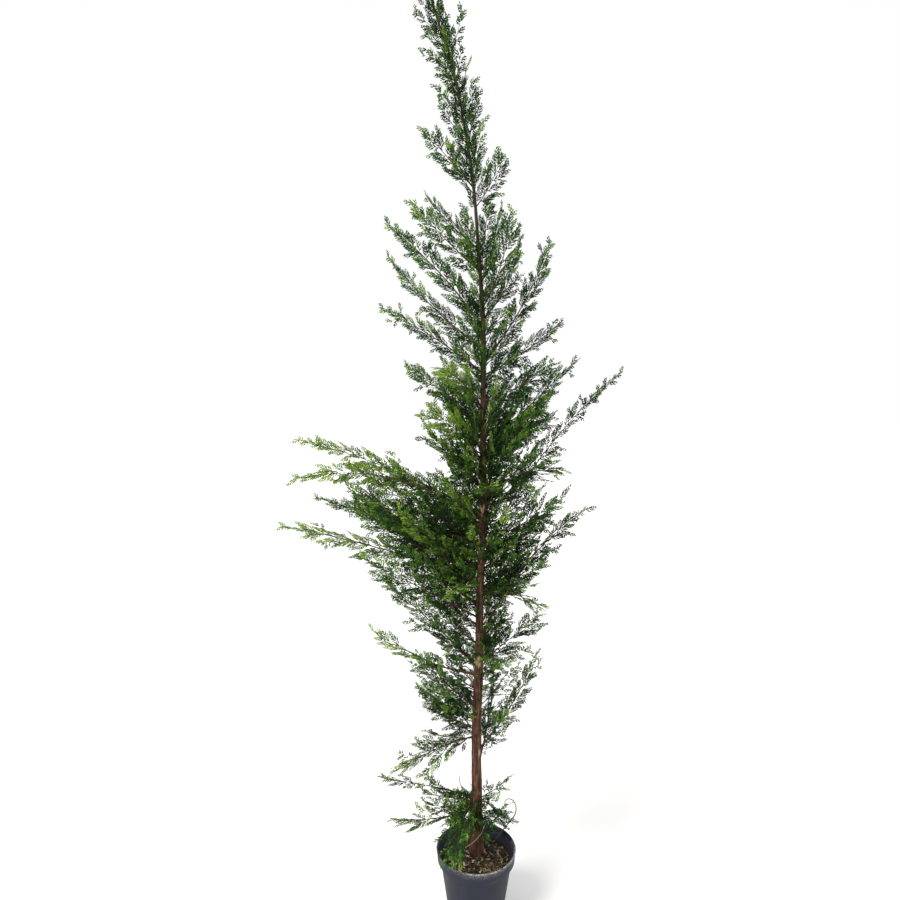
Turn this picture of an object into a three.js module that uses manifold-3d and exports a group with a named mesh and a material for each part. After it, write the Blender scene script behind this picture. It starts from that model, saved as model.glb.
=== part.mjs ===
// A young cypress about 2.2 m tall, growing in a black nursery pot.
//
// Units are millimetres, +Z is up, and the origin is the middle of the pot's flat underside.
// The leader leans over at its top. Each limb leaves it in a compass direction of its own, given as an
// azimuth: 0 is +X, 90 is +Y, 180 is -X and 270 is -Y. A limb is a bare bough and, from where its sprays
// begin, a mass of foliage, or only the mass where the sprays begin at the trunk.
//
// Meshes: pot, soil, trunk, bough_NAME and foliage_NAME.

import * as THREE from "three";
import { mergeVertices } from "three/addons/utils/BufferGeometryUtils.js";
import Module from "manifold-3d";

const wasm = await Module();
wasm.setup();

// ---- Driving dimensions ----

const GAP = 0.4; // clearance between neighbouring pieces
const WELD = 1e-4; // points closer than this are one
const SEARCH_STEPS = 30; // halvings when a height is looked for along the trunk
const UP = new THREE.Vector3(0, 0, 1);
const RIGHT = new THREE.Vector3(1, 0, 0);

const POT = {
  height: 200,
  rimRadius: 105,
  footRadius: 70,
  wall: 2.4,
  floor: 3,
  footBevel: 4,
  bandHeight: 30, // the upright band under the rim
  bandStep: 8, // how far the band stands out from the wall
  bandFlare: 3, // how much wider the band is at the rim than at its foot
  stepDrop: 2, // how far the step under the band slopes down
  rimHeight: 3, // how far below the top the band reaches its full radius
  rimBevel: 1,
  lip: 2.5, // width of the rim's flat top
  segments: 32,
  drainHoles: 8,
  drainRadius: 5,
  drainRise: 1, // the holes' lowest points, above the floor inside
  drainLength: 20,
  drainSegments: 8,
};

// The compost is level by the trunk and falls to its edge, over a shoulder at shares of its radius and drop.
const SOIL = { top: 180, edgeDrop: 9, seatRadius: 24, shoulder: 0.75, shoulderRise: 0.45 };

const TRUNK = {
  // The leader's line, from the ground to its nodding tip.
  line: [
    [0, 0, SOIL.top + GAP],
    [2, 4, 560],
    [8, 2, 860],
    [14, -4, 1260],
    [10, 2, 1600],
    [-14, 6, 1900],
    [-58, 2, 2150],
    [-124, -4, 2345],
  ],
  footRadius: 14.6,
  tipRadius: 1.4,
  taper: 1.5, // power of the taper: over 1 thins the upper half faster
  flare: 4.5, // extra radius at the root flare
  flareHeight: 22,
  footRing: 3, // points this near the foot lie on its flat cut
  sides: 8,
  rings: 18,
};

const BOUGH = { sides: 6, rings: 4, tipShare: 0.45 };
const MASS = {
  around: 8,
  along: 7,
  halfThickness: 6.5,
  swell: [0.62, 0.6], // powers of the breadth along the mass: widest nearer the foot, then full to the tip
  unevenness: 0.16,
  waves: [5.1, 9], // how quickly the uneven edge turns and rises along the mass
  lap: 16, // how far the foliage laps back over its bough
  neck: 2.2, // radius of the narrow neck by which a mass without a bough reaches the trunk
  neckShare: 0.1,
  seedStep: 1.7,
};

// The limbs, from the ground up. height is where the limb's line meets the trunk's, reach and climb are its
// tip's distance out and up from there, arch is how far its middle bows above (or, negative, below) the
// straight line, width is half the foliage's breadth, and roll turns the foliage's flat side about the limb.
const LIMBS = {
  foot_left: { height: 306, azimuth: 196, reach: 228, climb: 18, arch: -16, width: 58, roll: -55 },
  foot_bare: { height: 336, azimuth: 168, reach: 262, climb: 20, arch: 6, width: 28, roll: -55 },
  foot_front: { height: 342, azimuth: 238, reach: 118, climb: -128, arch: 34, width: 44, roll: 6 },
  foot_right: { height: 316, azimuth: 338, reach: 92, climb: -22, arch: 14, width: 44, roll: 55 },
  low_left: { height: 492, azimuth: 205, reach: 236, climb: -34, arch: 24, width: 70, roll: -58 },
  low_right: { height: 466, azimuth: 345, reach: 150, climb: 285, arch: -20, width: 36, roll: 60 },
  low_upright: { height: 413, azimuth: 40, reach: 58, climb: 320, arch: -22, width: 36, roll: 35 },
  low_back: { height: 545, azimuth: 148, reach: 195, climb: 55, arch: -8, width: 60, roll: -55 },
  low_steep: { height: 575, azimuth: 212, reach: 185, climb: 190, arch: 0, width: 58, roll: -55 },
  back_low: { height: 640, azimuth: 82, reach: 195, climb: 70, arch: 12, width: 54, roll: 20 },
  level_left: { height: 672, azimuth: 182, reach: 270, climb: 124, arch: -22, width: 44, roll: -58 },
  low_front: { height: 720, azimuth: 285, reach: 175, climb: 40, arch: 16, width: 54, roll: 20 },
  lower_right: { height: 706, azimuth: 345, reach: 152, climb: 142, arch: -8, width: 60, roll: 60 },
  lower_left: { height: 700, azimuth: 168, reach: 270, climb: 218, arch: 0, width: 66, roll: -58 },
  lower_back: { height: 800, azimuth: 62, reach: 215, climb: 120, arch: -12, width: 60, roll: -30 },
  dark_left: { height: 812, azimuth: 206, reach: 312, climb: 205, arch: 6, width: 72, roll: -55 },
  curved_right: { height: 752, azimuth: 12, reach: 292, climb: 346, arch: 38, width: 58, roll: 60 },
  front_left: { height: 880, azimuth: 248, reach: 225, climb: 70, arch: 20, width: 58, roll: -20 },
  droop_right: { height: 878, azimuth: 318, reach: 195, climb: 12, arch: 24, width: 58, roll: 45 },
  long_left: { height: 914, azimuth: 183, reach: 500, climb: 152, arch: 20, width: 62, roll: -55 },
  tufted_left: { height: 975, azimuth: 160, reach: 480, climb: 130, arch: 14, width: 50, roll: -60 },
  nodding_left: { height: 1058, azimuth: 195, reach: 462, climb: 140, arch: 66, width: 52, roll: -55 },
  arching_left: { height: 1085, azimuth: 172, reach: 480, climb: 192, arch: 26, width: 50, roll: -60 },
  mid_back: { height: 1020, azimuth: 105, reach: 290, climb: 150, arch: 12, width: 60, roll: 25 },
  leafy_right: { height: 1010, azimuth: 338, reach: 200, climb: 140, arch: -6, width: 64, roll: 58 },
  long_right: { height: 960, azimuth: 2, reach: 352, climb: 490, arch: 44, width: 34, roll: 60 },
  mid_front: { height: 1110, azimuth: 272, reach: 235, climb: 90, arch: 16, width: 60, roll: -20 },
  thick_right: { height: 1150, azimuth: 332, reach: 215, climb: 66, arch: 20, width: 70, roll: 50 },
  forked_right: { height: 1240, azimuth: 22, reach: 268, climb: 240, arch: 8, width: 54, roll: 60 },
  dark_tuft: { height: 1175, azimuth: 146, reach: 190, climb: 105, arch: 8, width: 60, roll: -50 },
  back_mid: { height: 1270, azimuth: 80, reach: 250, climb: 130, arch: 10, width: 56, roll: -25 },
  bright_left: { height: 1250, azimuth: 222, reach: 212, climb: 95, arch: 22, width: 60, roll: -40 },
  upper_right: { height: 1266, azimuth: 30, reach: 226, climb: 66, arch: -4, width: 62, roll: 58 },
  dark_right: { height: 1380, azimuth: 330, reach: 185, climb: 85, arch: -8, width: 52, roll: 55 },
  pointed_left: { height: 1335, azimuth: 192, reach: 195, climb: 130, arch: 0, width: 40, roll: -60 },
  bright_plume: { height: 1352, azimuth: 240, reach: 220, climb: 98, arch: 22, width: 52, roll: -35 },
  open_left: { height: 1444, azimuth: 176, reach: 256, climb: 164, arch: 8, width: 28, roll: -65 },
  feather_right: { height: 1445, azimuth: 14, reach: 206, climb: 128, arch: -10, width: 36, roll: 65 },
  slender_left: { height: 1505, azimuth: 158, reach: 262, climb: 240, arch: -12, width: 32, roll: -65 },
  slender_right: { height: 1466, azimuth: 343, reach: 160, climb: 290, arch: -16, width: 32, roll: 65 },
  high_left: { height: 1552, azimuth: 196, reach: 238, climb: 240, arch: 14, width: 38, roll: -65 },
  high_back: { height: 1500, azimuth: 98, reach: 230, climb: 165, arch: -10, width: 50, roll: 20 },
  high_right: { height: 1580, azimuth: 40, reach: 130, climb: 218, arch: -30, width: 38, roll: 60 },
  high_front: { height: 1600, azimuth: 300, reach: 120, climb: 215, arch: -20, width: 46, roll: 30 },
  crest_left: { height: 1690, azimuth: 208, reach: 185, climb: 150, arch: -8, width: 36, roll: -60 },
  crest_back: { height: 1745, azimuth: 135, reach: 190, climb: 165, arch: -6, width: 34, roll: -55 },
  top_left: { height: 1895, azimuth: 196, reach: 128, climb: 118, arch: 2, width: 34, roll: -60 },
  top_right: { height: 1850, azimuth: 345, reach: 62, climb: 118, arch: -10, width: 34, roll: 60 },
};

// The limbs with a bare bough: its radius at the trunk, and its share of the limb's line. The others reach
// the trunk as the mass's own narrow neck.
const BOUGHS = {
  foot_bare: { girth: 3.2, share: 0.5 },
  level_left: { girth: 4, share: 0.34 },
  curved_right: { girth: 5, share: 0.24 },
  long_left: { girth: 6, share: 0.22 },
  nodding_left: { girth: 5.4, share: 0.22 },
  arching_left: { girth: 5.6, share: 0.22 },
  long_right: { girth: 6, share: 0.22 },
};

// The sprays that close round the leader's top, as masses cut round it. from and to are shares of its line,
// and the last one goes on past the tip.
const SLEEVES = [
  { name: "leader_neck", from: 0.75, to: 0.9, beyond: 0, width: 48, thickness: 40, seed: 1.1 },
  { name: "leader_tip", from: 0.89, to: 1, beyond: 26, width: 44, thickness: 32, seed: 2.9 },
];

// ---- Solids ----

function solidOf(geometry) {
  const bare = geometry.clone();
  bare.deleteAttribute("normal");
  bare.deleteAttribute("uv");
  const merged = mergeVertices(bare, WELD);
  return new wasm.Manifold(
    new wasm.Mesh({
      numProp: 3,
      vertProperties: merged.getAttribute("position").array,
      triVerts: new Uint32Array(merged.index.array),
    }),
  );
}

function geometryOf(solid) {
  const { numProp, vertProperties, triVerts } = solid.getMesh();
  const count = vertProperties.length / numProp;
  const positions = new Float32Array(count * 3);
  for (let i = 0; i < count; i++) {
    positions.set(vertProperties.subarray(i * numProp, i * numProp + 3), i * 3);
  }
  const geometry = new THREE.BufferGeometry();
  geometry.setAttribute("position", new THREE.BufferAttribute(positions, 3));
  geometry.setIndex(new THREE.BufferAttribute(new Uint32Array(triVerts), 1));
  return geometry;
}

const boxesMeet = (a, b) => [0, 1, 2].every((k) => a.min[k] < b.max[k] && b.min[k] < a.max[k]);

// The largest body left of a solid once those in its way are cut out of it.
function cutClear(solid, inTheWay) {
  let left = solid;
  for (const other of inTheWay) {
    if (boxesMeet(left.boundingBox(), other.boundingBox())) left = left.subtract(other);
  }
  return left.decompose().reduce((a, b) => (b.volume() > a.volume() ? b : a));
}

function lathe(profile, segments) {
  const points = profile.map(([radius, z]) => new THREE.Vector2(radius, z));
  return new THREE.LatheGeometry(points, segments).rotateX(Math.PI / 2);
}

// ---- Lines and sections ----

// Carries a unit shape whose axis is Y along a curve. share gives a point's place on the curve, frameAt the
// two directions square to it there, and offset how far the point stands out along each of them.
function carried(shape, curve, share, frameAt, offset) {
  const positions = shape.getAttribute("position");
  for (let i = 0; i < positions.count; i++) {
    const point = new THREE.Vector3().fromBufferAttribute(positions, i);
    const t = share(point);
    const angle = Math.atan2(point.z, point.x);
    const { across, over } = frameAt(t);
    const [a, b] = offset(t, angle, Math.min(1, Math.hypot(point.x, point.z)));
    const placed = curve.getPoint(t).addScaledVector(across, a).addScaledVector(over, b);
    positions.setXYZ(i, placed.x, placed.y, placed.z);
  }
  return shape;
}

// Two directions square to the curve: across is level, and over completes the frame.
function levelFrame(curve, t, level) {
  const along = curve.getTangent(t);
  const across = level.clone().addScaledVector(along, -level.dot(along)).normalize();
  return { across, over: new THREE.Vector3().crossVectors(across, along) };
}

function turned({ across, over }, angle) {
  const c = Math.cos(angle);
  const s = Math.sin(angle);
  return {
    across: across.clone().multiplyScalar(c).addScaledVector(over, s),
    over: over.clone().multiplyScalar(c).addScaledVector(across, -s),
  };
}

// A tapering round bar along part of a curve, with flat ends.
function bar(curve, from, to, radiusAt, level, sides, rings) {
  const shape = new THREE.CylinderGeometry(1, 1, 1, sides, rings);
  return carried(
    shape,
    curve,
    (point) => THREE.MathUtils.lerp(from, to, point.y + 0.5),
    (t) => levelFrame(curve, t, level),
    (t, angle, share) => [radiusAt(t) * share * Math.cos(angle), radiusAt(t) * share * Math.sin(angle)],
  );
}

// A flat, pointed mass of foliage along part of a curve. Its breadth swells quickly and then narrows to the
// tip, and a slow wave round the edge, set by the seed, gives each one an uneven outline.
function plume(curve, { from, spread, to, neck }, frameAt, { width, thickness, grow, seed }) {
  const shape = new THREE.SphereGeometry(1, MASS.around, MASS.along);
  const [early, full] = MASS.swell;
  const [turn, rise] = MASS.waves;
  const swell = (u) => Math.sin(Math.PI * u ** early) ** full;
  const uneven = (u, angle) =>
    1 + MASS.unevenness * Math.sin(2 * angle + turn * u + seed) * Math.sin(rise * u + 2 * seed + angle);
  return carried(
    shape,
    curve,
    (point) => THREE.MathUtils.lerp(from, to, Math.acos(THREE.MathUtils.clamp(-point.y, -1, 1)) / Math.PI),
    frameAt,
    (t, angle, share) => {
      if (share < WELD) return [0, 0];
      const u = THREE.MathUtils.clamp((t - spread) / (to - spread), 0, 1);
      const size = swell(u) * uneven(u, angle);
      const least = neck + grow;
      return [(width * size + least) * Math.cos(angle), (thickness * size + least) * Math.sin(angle)];
    },
  );
}

// ---- Pot, soil and trunk ----

// The wall's outer radius just under the band, and the band's at its foot.
const BAND_RADIUS = POT.rimRadius - POT.bandFlare;
const WALL_TOP_RADIUS = BAND_RADIUS - POT.bandStep;

function pot() {
  const { height, rimRadius, footRadius, footBevel, wall, floor, bandHeight, stepDrop, rimBevel, lip } = POT;
  const bandFoot = height - bandHeight;
  const shell = solidOf(
    lathe(
      [
        [0, 0],
        [footRadius - footBevel, 0],
        [footRadius, footBevel],
        [WALL_TOP_RADIUS, bandFoot - stepDrop],
        [BAND_RADIUS, bandFoot],
        [rimRadius, height - POT.rimHeight],
        [rimRadius - rimBevel, height],
        [rimRadius - rimBevel - lip, height],
        [BAND_RADIUS - wall, bandFoot + wall],
        [WALL_TOP_RADIUS - wall, bandFoot + wall - stepDrop],
        [footRadius - wall, floor],
        [0, floor],
      ],
      POT.segments,
    ),
  );
  let drained = shell;
  for (let i = 0; i < POT.drainHoles; i++) {
    const { drainRadius, drainLength, drainSegments, drainRise } = POT;
    const bore = new THREE.CylinderGeometry(drainRadius, drainRadius, drainLength, drainSegments)
      .translate(0, footRadius, 0)
      .rotateZ(((i + 0.5) / POT.drainHoles) * 2 * Math.PI)
      .translate(0, 0, floor + drainRise + drainRadius);
    drained = drained.subtract(solidOf(bore));
  }
  return drained;
}

// The inner face's radius of the pot's tapering wall, less one and a half gaps.
function soilRadius(z) {
  const { height, footRadius, wall, floor, bandHeight, stepDrop } = POT;
  const top = height - bandHeight + wall - stepDrop;
  const share = (z - floor) / (top - floor);
  return THREE.MathUtils.lerp(footRadius, WALL_TOP_RADIUS, share) - wall - GAP * 1.5;
}

function soil() {
  const { top, edgeDrop, seatRadius, shoulder, shoulderRise } = SOIL;
  const low = POT.floor + GAP;
  const edge = top - edgeDrop;
  return solidOf(
    lathe(
      [
        [0, low],
        [soilRadius(low), low],
        [soilRadius(edge), edge],
        [soilRadius(edge) * shoulder, edge + edgeDrop * shoulderRise],
        [seatRadius, top],
        [0, top],
      ],
      POT.segments,
    ),
  );
}

const trunkLine = new THREE.CatmullRomCurve3(
  TRUNK.line.map(([x, y, z]) => new THREE.Vector3(x, y, z)),
  false,
  "centripetal",
);

function trunkRadius(t) {
  const height = trunkLine.getPoint(t).z - SOIL.top;
  const taper = TRUNK.tipRadius + (TRUNK.footRadius - TRUNK.tipRadius) * (1 - t) ** TRUNK.taper;
  return taper + TRUNK.flare * Math.exp(-height / TRUNK.flareHeight);
}

// The trunk's foot ring is moved level, so that it stands on a flat cut.
function trunk(grow) {
  const radiusAt = (t) => trunkRadius(t) + grow;
  const shape = bar(trunkLine, 0, 1, radiusAt, RIGHT, TRUNK.sides, TRUNK.rings);
  const positions = shape.getAttribute("position");
  const foot = SOIL.top + GAP;
  for (let i = 0; i < positions.count; i++) {
    if (positions.getZ(i) < foot + TRUNK.footRing) positions.setZ(i, foot);
  }
  return solidOf(shape);
}

// The share of the trunk's line at a height.
function shareAtHeight(z) {
  let [low, high] = [0, 1];
  for (let i = 0; i < SEARCH_STEPS; i++) {
    const middle = (low + high) / 2;
    if (trunkLine.getPoint(middle).z < z) low = middle;
    else high = middle;
  }
  return (low + high) / 2;
}

// ---- Limbs ----

const radians = THREE.MathUtils.degToRad;

// A limb's line starts on the trunk's own line, and its middle bows square to the straight way.
function limbLine({ height, azimuth, reach, climb, arch }) {
  const out = new THREE.Vector3(Math.cos(radians(azimuth)), Math.sin(radians(azimuth)), 0);
  const start = trunkLine.getPoint(shareAtHeight(height));
  const end = start.clone().addScaledVector(out, reach).addScaledVector(UP, climb);
  const slope = Math.atan2(climb, reach);
  const bow = UP.clone().multiplyScalar(Math.cos(slope)).addScaledVector(out, -Math.sin(slope));
  const middle = start.clone().lerp(end, 0.5).addScaledVector(bow, 2 * arch);
  return {
    curve: new THREE.QuadraticBezierCurve3(start, middle, end),
    level: new THREE.Vector3().crossVectors(UP, out),
  };
}

function bough(name, grow) {
  const { curve, level } = limbLine(LIMBS[name]);
  const { girth, share } = BOUGHS[name];
  const radiusAt = (t) => girth * (1 - (1 - BOUGH.tipShare) * (t / share)) + grow;
  return solidOf(bar(curve, 0, share, radiusAt, level, BOUGH.sides, BOUGH.rings));
}

// Foliage laps the end of its bough, or narrows to a neck that starts in the trunk, and is cut clear later.
function foliage(name, seed, grow) {
  const limb = LIMBS[name];
  const { curve, level } = limbLine(limb);
  const bare = BOUGHS[name];
  const start = bare ? bare.share - (MASS.lap + grow) / curve.getLength() : 0;
  const span = {
    from: start,
    spread: bare ? start : MASS.neckShare,
    to: 1,
    neck: bare ? 0 : MASS.neck,
  };
  const frameAt = (t) => turned(levelFrame(curve, t, level), radians(limb.roll));
  const size = { width: limb.width, thickness: MASS.halfThickness, grow, seed };
  return solidOf(plume(curve, span, frameAt, size));
}

function sleeve({ from, to, beyond, width, thickness, seed }, grow) {
  const start = trunkLine.getPoint(from);
  const end = trunkLine.getPoint(to).addScaledVector(trunkLine.getTangent(to), beyond);
  const curve = new THREE.QuadraticBezierCurve3(start, trunkLine.getPoint((from + to) / 2), end);
  const frameAt = (t) => levelFrame(curve, t, RIGHT);
  const span = { from: 0, spread: 0, to: 1, neck: 0 };
  return solidOf(plume(curve, span, frameAt, { width, thickness, grow, seed }));
}

// ---- The assembly ----

const FINISH = {
  pot: { color: 0x23262b, roughness: 0.5 },
  soil: { color: 0x2c2119, roughness: 0.95 },
  bark: { color: 0x5f4334, roughness: 0.85 },
  foliage: { color: 0x3c6b2a, roughness: 0.7 },
};

const cypress = new THREE.Group();
const taken = []; // what later pieces are cut clear of, each grown by the gap

function addPiece(name, finish, solid, grown) {
  const piece = cutClear(solid, taken);
  const material = new THREE.MeshStandardMaterial({ ...FINISH[finish], metalness: 0 });
  const mesh = new THREE.Mesh(geometryOf(piece), material);
  mesh.name = name;
  cypress.add(mesh);
  taken.push(grown);
}

addPiece("pot", "pot", pot(), pot());
addPiece("soil", "soil", soil(), soil());
addPiece("trunk", "bark", trunk(0), trunk(GAP));
for (const name of Object.keys(BOUGHS)) {
  addPiece(`bough_${name}`, "bark", bough(name, 0), bough(name, GAP));
}
Object.keys(LIMBS).forEach((name, index) => {
  const seed = index * MASS.seedStep;
  addPiece(`foliage_${name}`, "foliage", foliage(name, seed, 0), foliage(name, seed, GAP));
});
for (const part of SLEEVES) {
  addPiece(`foliage_${part.name}`, "foliage", sleeve(part, 0), sleeve(part, GAP));
}

export default cypress;
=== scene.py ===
"""A young potted cypress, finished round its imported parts.

The pot, the compost, the bark and the foliage are made anew here as numpy surfaces. Each mass of foliage is
read from the part for its line, plane and breadth, and growth of five orders is set along it: stem, branch,
twig, side shoot and scale-leaved tip. Everything is in metres, +Z up, in the part's own frame.
"""

import math
from collections import namedtuple

import bpy
import numpy as np
from bpy.props import FloatProperty, FloatVectorProperty, IntProperty, PointerProperty
from bpy.types import Operator, Panel, PropertyGroup
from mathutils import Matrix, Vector


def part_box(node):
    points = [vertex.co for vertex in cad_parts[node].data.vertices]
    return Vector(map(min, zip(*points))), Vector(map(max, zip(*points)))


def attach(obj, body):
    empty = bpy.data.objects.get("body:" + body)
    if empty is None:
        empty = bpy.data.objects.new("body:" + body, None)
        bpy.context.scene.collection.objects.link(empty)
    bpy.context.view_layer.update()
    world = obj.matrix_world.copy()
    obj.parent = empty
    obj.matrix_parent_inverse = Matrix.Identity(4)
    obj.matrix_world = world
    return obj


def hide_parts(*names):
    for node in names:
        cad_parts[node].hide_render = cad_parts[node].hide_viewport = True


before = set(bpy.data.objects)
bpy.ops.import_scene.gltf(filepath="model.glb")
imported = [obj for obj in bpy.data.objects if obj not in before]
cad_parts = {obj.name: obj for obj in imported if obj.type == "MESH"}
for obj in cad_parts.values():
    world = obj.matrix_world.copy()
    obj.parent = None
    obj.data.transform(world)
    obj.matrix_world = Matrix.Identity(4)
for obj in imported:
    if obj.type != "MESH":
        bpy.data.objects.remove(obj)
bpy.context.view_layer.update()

bl_info = {
    "name": "Potted cypress",
    "version": (1, 0, 0),
    "blender": (4, 5, 0),
    "location": "3D View > Sidebar > Cypress",
    "description": "Builds a young potted cypress with grown sprays round its packed parts",
    "category": "Add Mesh",
}

BODY = "root"
SLEEVES = ("foliage_leader_neck", "foliage_leader_tip")
PADS = sorted(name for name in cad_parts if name.startswith("foliage_") and name not in SLEEVES)
BOUGHS = sorted(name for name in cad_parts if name.startswith("bough_"))
POT_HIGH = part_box("pot")[1]
SOIL_LOW, SOIL_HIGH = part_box("soil")
UP = np.array([0.0, 0.0, 1.0])
GOLDEN_ANGLE = math.radians(137.5)

# ---- Numbers in arrays ----


def unit(vectors):
    """Each vector divided by its length."""
    return vectors / np.maximum(np.linalg.norm(vectors, axis=-1, keepdims=True), 1e-12)


def square_to(vectors, ways):
    """Each vector less its part along its way, made a unit: the nearest direction square to the way."""
    return unit(vectors - ways * np.sum(vectors * ways, axis=-1, keepdims=True))


def ease(values, low, high):
    """0 below low, 1 above high, and a smooth S between them."""
    share = np.clip((values - low) / (high - low), 0, 1)
    return share * share * (3 - 2 * share)


def angles(count):
    """The angles of a ring's points."""
    return np.arange(count) / count * 2 * np.pi


def round_axis(angle, radius=1.0, height=0.0):
    """Points at an angle round the Z axis, a radius from it and a height."""
    return np.stack(np.broadcast_arrays(radius * np.cos(angle), radius * np.sin(angle), height), axis=-1)


def grain(rng, u, v, cells_u, cells_v):
    """Random numbers from 0 to 1 on a grid of cells, eased between its corners. u and v run from 0 to 1,
    and u goes round, so that its end meets its start."""
    table = rng.random((cells_v + 1, cells_u))
    x, y = (u % 1) * cells_u, np.clip(v, 0, 1) * cells_v
    i = np.floor(x).astype(int) % cells_u
    j = np.minimum(np.floor(y).astype(int), cells_v - 1)
    across, along = ease(x - np.floor(x), 0, 1), ease(y - j, 0, 1)
    low = table[j, i] * (1 - across) + table[j, (i + 1) % cells_u] * across
    high = table[j + 1, i] * (1 - across) + table[j + 1, (i + 1) % cells_u] * across
    return low * (1 - along) + high * along


def through(knots, shares):
    """Points on a smooth line through the knots: between two, a cubic whose slope at each is half the way
    from the knot before it to the knot after it."""
    knots = np.asarray(knots, float)
    padded = np.concatenate([[2 * knots[0] - knots[1]], knots, [2 * knots[-1] - knots[-2]]])
    x = np.clip(shares, 0, 1) * (len(knots) - 1)
    i = np.minimum(np.floor(x).astype(int), len(knots) - 2)
    t = (x - i)[:, None]
    a, b, c, d = (padded[i + k] for k in range(4))
    return 0.5 * (2 * b + (c - a) * t + (2 * a - 5 * b + 4 * c - d) * t**2 + (3 * b - a - 3 * c + d) * t**3)


# ---- Meshes ----


def add_piece(name, points, faces, material, slot, nodes=(), smooth=True, **numbers):
    """One piece, from its points and arrays of faces, with numbers on its points as attributes. It rides on
    the plant, takes the material given and stands for the part's nodes. The slot is not used."""
    sizes = np.concatenate([np.full(len(block), block.shape[1]) for block in faces])
    corners = np.concatenate([block.ravel() for block in faces]).astype(np.int32)
    starts = np.concatenate([[0], np.cumsum(sizes)[:-1]]).astype(np.int32)
    mesh = bpy.data.meshes.new(name)
    mesh.vertices.add(len(points))
    mesh.vertices.foreach_set("co", np.asarray(points, np.float32).ravel())
    mesh.loops.add(len(corners))
    mesh.loops.foreach_set("vertex_index", corners)
    mesh.polygons.add(len(sizes))
    mesh.polygons.foreach_set("loop_start", starts)
    mesh.polygons.foreach_set("use_smooth", np.full(len(sizes), smooth))
    mesh.update(calc_edges=True)
    if mesh.validate():
        raise RuntimeError(f"{name} has faces that don't hold together")
    for key, values in numbers.items():
        attribute = mesh.attributes.new(key, "FLOAT", "POINT")
        attribute.data.foreach_set("value", np.asarray(values, np.float32).ravel())
    mesh.materials.append(material)
    piece = bpy.data.objects.new(name, mesh)
    bpy.context.scene.collection.objects.link(piece)
    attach(piece, BODY)
    if nodes:
        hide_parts(*nodes)
    return piece


def tube_faces(rings, around):
    """A closed tube's faces: four-cornered walls between its rings, and a fan over each end. Its points are
    numbered ring by ring, anticlockwise seen from the tip, then the foot's middle and the tip's."""
    here = np.arange(rings * around).reshape(rings, around)
    following = np.roll(here, -1, axis=1)
    walls = np.stack([here[:-1], following[:-1], following[1:], here[1:]], axis=-1).reshape(-1, 4)
    foot, tip = np.full(around, rings * around), np.full(around, rings * around + 1)
    over_foot = np.stack([foot, following[0], here[0]], axis=-1)
    over_tip = np.stack([tip, here[-1], following[-1]], axis=-1)
    return walls, np.concatenate([over_foot, over_tip])


def skin(rings):
    """The closed skin over rings of points, given as (ring, point, axis)."""
    points = np.concatenate([rings.reshape(-1, 3), rings[0].mean(0)[None], rings[-1].mean(0)[None]])
    return points, list(tube_faces(*rings.shape[:2]))


def spread_to_ends(values):
    """Numbers for a skin's points, from those of its rings: each end's middle takes its ring's mean."""
    return np.concatenate([values.ravel(), [values[0].mean(), values[-1].mean()]])


def sweep(line, radii, around, normal):
    """A circle round each point of a line, square to its way there. Gives the rings, and the directions out
    to their points."""
    way = unit(np.gradient(line, axis=0))
    across = square_to(np.broadcast_to(normal, way.shape), way)
    over = np.cross(way, across)
    angle = angles(around)
    out = across[:, None] * np.cos(angle)[None, :, None] + over[:, None] * np.sin(angle)[None, :, None]
    return line[:, None] + out * radii[..., None], out


def turned_profile(profile, around):
    """Rings of a profile of (radius, height) turned round the Z axis, from its first point to its last."""
    radius, height = np.asarray(profile, float).T[:, :, None]
    return round_axis(angles(around), radius, height)


def put_together(meshes):
    """Several meshes as one: the points in a row, and the faces shifted past the points before them."""
    points, faces, past = [], [], 0
    for some_points, some_faces in meshes:
        points.append(some_points)
        faces += [block + past for block in some_faces]
        past += len(some_points)
    return np.concatenate(points), faces


# ---- Lines of growth ----

# A line is root + run * t + bend * t * t for t from 0 to 1, and face is square to the plane that it grows
# in.
Lines = namedtuple("Lines", "root run bend face")


def length_of(lines):
    """A line's length, near enough: that of its run and its bend together."""
    return np.linalg.norm(lines.run + lines.bend, axis=-1)


def point_on(lines, t, index=slice(None)):
    t = np.asarray(t)[..., None]
    return lines.root[index] + lines.run[index] * t + lines.bend[index] * t * t


def way_on(lines, t, index=slice(None)):
    return unit(lines.run[index] + 2 * lines.bend[index] * np.asarray(t)[..., None])


def joined(*several):
    return Lines(*(np.concatenate(parts) for parts in zip(*several)))


def chosen(lines, keep):
    return Lines(*(part[keep] for part in lines))


def stalks(lines, radii, shares, around=3, flat=1.0):
    """Many closed stalks as one mesh: a point at each one's foot and tip, and between them rings round its
    line at the given shares of it, squashed across its plane by flat. radii is (line, ring)."""
    count, rings = radii.shape
    index = np.arange(count)[:, None]
    share = np.broadcast_to(shares, (count, rings))
    middle, way = point_on(lines, share, index), way_on(lines, share, index)
    over = square_to(np.broadcast_to(lines.face[:, None], way.shape), way)
    across = np.cross(over, way)
    angle = angles(around)
    out = across[:, :, None] * np.cos(angle)[:, None] + over[:, :, None] * (flat * np.sin(angle))[:, None]
    ring_points = (middle[:, :, None] + out * radii[:, :, None, None]).reshape(count, -1, 3)
    ends = np.stack([lines.root, lines.root + lines.run + lines.bend], axis=1)
    points = np.concatenate([ring_points, ends], axis=1)
    walls, fans = tube_faces(rings, around)
    offset = (np.arange(count) * points.shape[1])[:, None, None]
    return points.reshape(-1, 3), [(fans + offset).reshape(-1, 3), (walls + offset).reshape(-1, 4)]


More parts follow.
